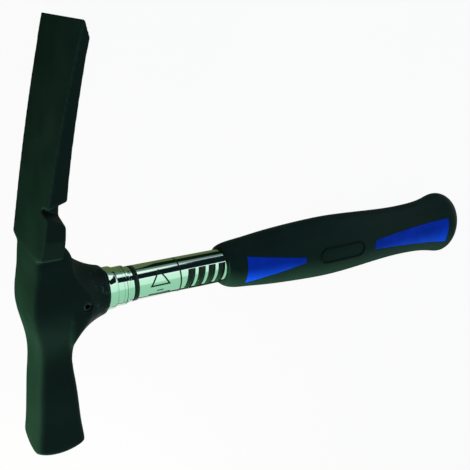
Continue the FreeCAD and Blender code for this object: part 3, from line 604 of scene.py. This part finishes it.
# %% Pin steel
# Oiled spring steel: dark grey, a dull metal shine, with the mottle of the scale that hardening leaves.
# The mottle is drawn at 0.8 mm, coarser than the real one, so that it shows at all
pin_finish, tree, shader = new_finish("oiled_spring_steel")
place = add_node(tree, "ShaderNodeTexCoord").outputs["Object"]
mottle = add_node(tree, "ShaderNodeTexNoise", numbers={"Scale": 1 / (0.8 * MM), "Detail": 3},
                  links={"Vector": place})
tone = add_node(tree, "ShaderNodeValToRGB", links={"Fac": mottle.outputs["Fac"]})
tone.color_ramp.elements[0].color = colour("2A302E")
tone.color_ramp.elements[1].color = colour("4A524F")
tree.links.new(tone.outputs["Color"], shader.inputs["Base Color"])
shader.inputs["Metallic"].default_value = 1
shader.inputs["Roughness"].default_value = 0.42
finish_node("retaining_pin", pin_finish)

# %% [markdown]
# ## The printed film
# A clear film is wrapped round the tube and lets the chrome through. It carries two dark rings, a
# triangle with two fine rules under it, and a row of slanted bars. The print could be drawn in the film's
# shader, but as thin pieces of ink it stays crisp and keeps its real size.

# %% Film finish
# Clear polyester film on chrome: the mirror shows through it, smoothed, with a slow ripple where the film
# was stretched round, and a thin gloss of its own on top
film, tree, shader = new_finish("clear_film_over_chrome")
place = add_node(tree, "ShaderNodeTexCoord").outputs["Object"]
ripple = add_node(tree, "ShaderNodeTexNoise", numbers={"Scale": 1 / (5 * MM), "Detail": 2},
                  links={"Vector": place})
haze = add_node(tree, "ShaderNodeMapRange", numbers={"To Min": 0.03, "To Max": 0.09},
                links={"Value": ripple.outputs["Fac"]})
shader.inputs["Base Color"].default_value = colour("B9D6C4")
shader.inputs["Metallic"].default_value = 1
shader.inputs["Coat Weight"].default_value = 0.4
shader.inputs["Coat Roughness"].default_value = 0.04
tree.links.new(haze.outputs["Result"], shader.inputs["Roughness"])
relief = add_node(tree, "ShaderNodeBump", numbers={"Strength": 0.15, "Distance": 0.1 * MM},
                  links={"Height": ripple.outputs["Fac"]})
tree.links.new(relief.outputs["Normal"], shader.inputs["Normal"])
print("film has", len(tree.nodes), "nodes")

# %% The film turned round the tube
FILM_WALL, FILM_BREAK, FILM_END = 0.11, 0.04, 0.06
sleeve_low, sleeve_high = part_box("printed_sleeve")
sleeve_radius = (sleeve_high[1] - sleeve_low[1]) / 2
first, last, outside = sleeve_low[0] / MM, sleeve_high[0] / MM, sleeve_radius / MM
sleeve = turned("film_sleeve", [
    (first, outside - FILM_WALL), (last, outside - FILM_WALL), (last, outside - FILM_BREAK),
    (last - FILM_END, outside), (first + FILM_END, outside), (first, outside - FILM_BREAK),
])
sleeve.data.materials.append(film)
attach(sleeve, "root")
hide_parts("printed_sleeve")
print("film", round(last - first, 1), "mm long, radius", round(outside, 2), "mm")

# %% Ink, laid flat first: along the handle, and round it
INK = 0.03 * MM
ink_flat = bmesh.new()


def ink_block(low, high, slant=0):
    """A rectangle of ink between two corners, in mm, leaning by slant along the handle."""
    made = bmesh.ops.create_grid(ink_flat, x_segments=1, y_segments=1, size=0.5)["verts"]
    bmesh.ops.scale(ink_flat, verts=made, vec=((high[0] - low[0]) * MM, (high[1] - low[1]) * MM, 1))
    for vertex in made:
        vertex.co.x += slant * MM * (1 if vertex.co.y > 0 else 0)
    middle = ((low[0] + high[0]) / 2 * MM, (low[1] + high[1]) / 2 * MM, 0)
    bmesh.ops.translate(ink_flat, verts=made, vec=middle)


# Places in mm: along the handle from the striking face's centre, and round the tube from its top
HALF_ROUND = math.pi * sleeve_radius / MM
RINGS = [(36.7, 39.3), (61.6, 62.4)]
RULES = [(48.7, 52.3, -2.9, -2.3), (44.6, 56.4, -4.9, -4.3)]
BAR_STARTS = (64.2, 70.2, 76.2, 82.2)
BAR_WIDTH, BAR_LOW, BAR_HIGH, BAR_SLANT = 4.2, -5.8, 5.2, 2.4
for ring_start, ring_end in RINGS:
    ink_block((ring_start, -HALF_ROUND), (ring_end, HALF_ROUND))
for rule_start, rule_end, rule_low, rule_high in RULES:
    ink_block((rule_start, rule_low), (rule_end, rule_high))
for bar_start in BAR_STARTS:
    ink_block((bar_start, BAR_LOW), (bar_start + BAR_WIDTH, BAR_HIGH), slant=BAR_SLANT)
print("ink blocks", len(ink_flat.faces))

# %% The triangle's outline
TRIANGLE_MIDDLE = (50.5 * MM, 2.8 * MM, 0)
TRIANGLE_REACH = (6.5 * MM, 5.8 * MM, 1)
TRIANGLE_LINE = 0.8 * MM
triangle = bmesh.ops.create_circle(ink_flat, cap_ends=True, segments=3, radius=1)["verts"]
bmesh.ops.scale(ink_flat, verts=triangle, vec=TRIANGLE_REACH)
bmesh.ops.translate(ink_flat, verts=triangle, vec=TRIANGLE_MIDDLE)
face = triangle[0].link_faces[0]
bmesh.ops.inset_region(ink_flat, faces=[face], thickness=TRIANGLE_LINE, use_boundary=True,
                       use_even_offset=True)
bmesh.ops.delete(ink_flat, geom=[face], context="FACES")
print("ink blocks and triangle sides", len(ink_flat.faces))

# %% The ink wrapped round the tube
WRAP_CUTS = 72
SAME_INK_PLACE = 0.005 * MM
bmesh.ops.solidify(ink_flat, geom=ink_flat.faces[:], thickness=INK)
for cut in range(1 - WRAP_CUTS, WRAP_CUTS):
    geometry = ink_flat.verts[:] + ink_flat.edges[:] + ink_flat.faces[:]
    bmesh.ops.bisect_plane(ink_flat, geom=geometry, plane_co=(0, cut / WRAP_CUTS * HALF_ROUND * MM, 0),
                           plane_no=(0, 1, 0))
for vertex in ink_flat.verts:
    turn = vertex.co.y / sleeve_radius
    reach = sleeve_radius + vertex.co.z + INK
    vertex.co.y = handle_height + reach * math.sin(turn)
    vertex.co.z = reach * math.cos(turn)
bmesh.ops.remove_doubles(ink_flat, verts=ink_flat.verts, dist=SAME_INK_PLACE)
bmesh.ops.recalc_face_normals(ink_flat, faces=ink_flat.faces)
marks = piece_from(ink_flat, "printed_marks")
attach(marks, "root")
print("printed marks", len(marks.data.polygons), "faces")

# %% Ink finish
# Screen-printed ink: nearly black with a green cast, smooth and a little glossy, thinner in places
ink, tree, shader = new_finish("dark_printing_ink")
place = add_node(tree, "ShaderNodeTexCoord").outputs["Object"]
thin = add_node(tree, "ShaderNodeTexNoise", numbers={"Scale": 1 / (1.2 * MM), "Detail": 3},
                links={"Vector": place})
tone = add_node(tree, "ShaderNodeValToRGB", links={"Fac": thin.outputs["Fac"]})
tone.color_ramp.elements[0].color = colour("10261D")
tone.color_ramp.elements[1].color = colour("22402F")
tree.links.new(tone.outputs["Color"], shader.inputs["Base Color"])
shader.inputs["Roughness"].default_value = 0.3
shader.inputs["Specular IOR Level"].default_value = 0.12
marks.data.materials.append(ink)
print(marks.name, "is", ink.name)

# %% [markdown]
# ## Moulded grip and its inlays
# The grip is a soft rubber-like plastic moulded over the tube. The mould was spark-eroded, which leaves a
# fine matt grain all over it. The inlays are a harder plastic of a plain blue, with the same grain. The
# grip's form and its pockets are right in the measured solid, so only the finish is added.

# %% Grip rubber
# Moulded thermoplastic rubber: nearly black, matt, slightly uneven from handling
rubber, tree, shader = new_finish("moulded_grip_rubber")
place = add_node(tree, "ShaderNodeTexCoord").outputs["Object"]
handling = add_node(tree, "ShaderNodeTexNoise", numbers={"Scale": 1 / (22 * MM), "Detail": 3},
                    links={"Vector": place})
tone = add_node(tree, "ShaderNodeValToRGB", links={"Fac": handling.outputs["Fac"]})
tone.color_ramp.elements[0].color = colour("122521")
tone.color_ramp.elements[0].position = 0.3
tone.color_ramp.elements[1].color = colour("182E28")
tone.color_ramp.elements[1].position = 0.75
print("rubber has", len(tree.nodes), "nodes so far")

# %% [markdown]
# The badge frame's raised line gets painted shade: the rubber's colour is made darker along it. Its
# shape is a slot with round ends, so the distance from that slot's line says where it is, on both sides
# of the grip at once.

# %% Painted shade along the badge frame's line
BADGE = Vector((166.7 * MM, 74.75 * MM, 0))
HALF_STRAIGHT = 12.6 * MM
LINE_RADIUS = 4.45 * MM
LINE_FADED, LINE_FULL = 0.75 * MM, 0.5 * MM
from_middle = add_node(tree, "ShaderNodeVectorMath", operation="SUBTRACT", numbers={1: BADGE},
                       links={0: place})
unsigned = add_node(tree, "ShaderNodeVectorMath", operation="ABSOLUTE",
                    links={0: from_middle.outputs["Vector"]})
past_straight = add_node(tree, "ShaderNodeVectorMath", operation="SUBTRACT",
                         numbers={1: (HALF_STRAIGHT, 0, 0)}, links={0: unsigned.outputs["Vector"]})
round_end = add_node(tree, "ShaderNodeVectorMath", operation="MAXIMUM",
                     links={0: past_straight.outputs["Vector"]})
flat_on = add_node(tree, "ShaderNodeVectorMath", operation="MULTIPLY", numbers={1: (1, 1, 0)},
                   links={0: round_end.outputs["Vector"]})
reach = add_node(tree, "ShaderNodeVectorMath", operation="LENGTH", links={0: flat_on.outputs["Vector"]})
off_line = add_node(tree, "ShaderNodeMath", operation="SUBTRACT", numbers={1: LINE_RADIUS},
                    links={0: reach.outputs["Value"]})
off_line = add_node(tree, "ShaderNodeMath", operation="ABSOLUTE", links={0: off_line.outputs[0]})
line = add_node(tree, "ShaderNodeMapRange", numbers={"From Min": LINE_FADED, "From Max": LINE_FULL},
                links={"Value": off_line.outputs[0]})
# Painted shade: the rubber's colour is darkened to 081311 along the badge frame's line
badge_painted_shade = add_node(tree, "ShaderNodeMix", data_type="RGBA", numbers={"B": colour("081311")},
                 links={"Factor": line.outputs["Result"], "A": tone.outputs["Color"]})
tree.links.new(badge_painted_shade.outputs["Result"], shader.inputs["Base Color"])
print("badge line", round(2 * (HALF_STRAIGHT + LINE_RADIUS) / MM, 1), "mm long")

# %% Gloss and grain of the rubber
# Spark erosion leaves a grain of about 0.1 mm, too fine for the picture, so it is drawn at 0.7 mm
MOULD_GRAIN = 0.7 * MM
grain = add_node(tree, "ShaderNodeTexNoise", links={"Vector": place},
                 numbers={"Scale": 1 / MOULD_GRAIN, "Detail": 3, "Roughness": 0.6})
gloss = add_node(tree, "ShaderNodeMapRange", numbers={"To Min": 0.5, "To Max": 0.66},
                 links={"Value": handling.outputs["Fac"]})
tree.links.new(gloss.outputs["Result"], shader.inputs["Roughness"])
relief = add_node(tree, "ShaderNodeBump", numbers={"Strength": 0.3, "Distance": 0.08 * MM},
                  links={"Height": grain.outputs["Fac"]})
tree.links.new(relief.outputs["Normal"], shader.inputs["Normal"])
shader.inputs["Specular IOR Level"].default_value = 0.06
finish_node("grip_body", rubber)

# %% Blue inlays
# Moulded polypropylene, dyed through: a strong plain blue with slow clouds, matt from the same grain,
# which is drawn as coarse as on the rubber
blue, tree, shader = new_finish("moulded_blue_plastic")
place = add_node(tree, "ShaderNodeTexCoord").outputs["Object"]
grain = add_node(tree, "ShaderNodeTexNoise", numbers={"Scale": 1 / MOULD_GRAIN, "Detail": 3},
                 links={"Vector": place})
clouds = add_node(tree, "ShaderNodeTexNoise", numbers={"Scale": 1 / (12 * MM), "Detail": 2},
                  links={"Vector": place})
tone = add_node(tree, "ShaderNodeValToRGB", links={"Fac": clouds.outputs["Fac"]})
tone.color_ramp.elements[0].color = colour("0B40CE")
tone.color_ramp.elements[0].position = 0.3
tone.color_ramp.elements[1].color = colour("104BF0")
tone.color_ramp.elements[1].position = 0.75
tree.links.new(tone.outputs["Color"], shader.inputs["Base Color"])
shader.inputs["Roughness"].default_value = 0.5
shader.inputs["Specular IOR Level"].default_value = 0.06
relief = add_node(tree, "ShaderNodeBump", numbers={"Strength": 0.3, "Distance": 0.06 * MM},
                  links={"Height": grain.outputs["Fac"]})
tree.links.new(relief.outputs["Normal"], shader.inputs["Normal"])
for node_name in ("front_inlay_top", "front_inlay_bottom", "rear_inlay_top", "rear_inlay_bottom"):
    finish_node(node_name, blue)

# %% [markdown]
# ## Inside the handle
# Two pieces are out of sight once the handle is together, but they are real pieces and get a finish as
# well. The damping core is a turned peg of ash, and the plug at the tube's end is moulded from a hard
# black plastic.

# %% Turned ash
# Ash cut along the grain and turned: pale brown with darker bands of growth, dry and matt
ash, tree, shader = new_finish("turned_ash")
place = add_node(tree, "ShaderNodeTexCoord").outputs["Object"]
along_grain = add_node(tree, "ShaderNodeMapping", numbers={"Scale": (0.08, 1, 1)}, links={"Vector": place})
growth = add_node(tree, "ShaderNodeTexNoise", links={"Vector": along_grain.outputs["Vector"]},
                  numbers={"Scale": 1 / (2.2 * MM), "Detail": 4, "Distortion": 0.4})
tone = add_node(tree, "ShaderNodeValToRGB", links={"Fac": growth.outputs["Fac"]})
tone.color_ramp.elements[0].color = colour("A98A5E")
tone.color_ramp.elements[0].position = 0.35
tone.color_ramp.elements[1].color = colour("D2B98C")
tone.color_ramp.elements[1].position = 0.62
tree.links.new(tone.outputs["Color"], shader.inputs["Base Color"])
dry = add_node(tree, "ShaderNodeMapRange", numbers={"To Min": 0.6, "To Max": 0.78},
               links={"Value": growth.outputs["Fac"]})
tree.links.new(dry.outputs["Result"], shader.inputs["Roughness"])
relief = add_node(tree, "ShaderNodeBump", numbers={"Strength": 0.3, "Distance": 0.1 * MM},
                  links={"Height": growth.outputs["Fac"]})
tree.links.new(relief.outputs["Normal"], shader.inputs["Normal"])
finish_node("damping_core", ash)

# %% Plug plastic
# Glass-filled nylon: nearly black, dull, with faint flow clouds from the mould's gate. Its fibres are
# about 0.01 mm thick, so they are drawn far coarser, at 0.5 mm
plug, tree, shader = new_finish("moulded_black_plastic")
place = add_node(tree, "ShaderNodeTexCoord").outputs["Object"]
flow = add_node(tree, "ShaderNodeTexNoise", links={"Vector": place},
                numbers={"Scale": 1 / (6 * MM), "Detail": 3, "Distortion": 0.8})
tone = add_node(tree, "ShaderNodeValToRGB", links={"Fac": flow.outputs["Fac"]})
tone.color_ramp.elements[0].color = colour("17191A")
tone.color_ramp.elements[1].color = colour("26292A")
tree.links.new(tone.outputs["Color"], shader.inputs["Base Color"])
dull = add_node(tree, "ShaderNodeMapRange", numbers={"To Min": 0.45, "To Max": 0.62},
                links={"Value": flow.outputs["Fac"]})
tree.links.new(dull.outputs["Result"], shader.inputs["Roughness"])
fibres = add_node(tree, "ShaderNodeTexNoise", numbers={"Scale": 1 / (0.5 * MM), "Detail": 2},
                  links={"Vector": place})
relief = add_node(tree, "ShaderNodeBump", numbers={"Strength": 0.2, "Distance": 0.05 * MM},
                  links={"Height": fibres.outputs["Fac"]})
tree.links.new(relief.outputs["Normal"], shader.inputs["Normal"])
finish_node("tube_end_plug", plug)
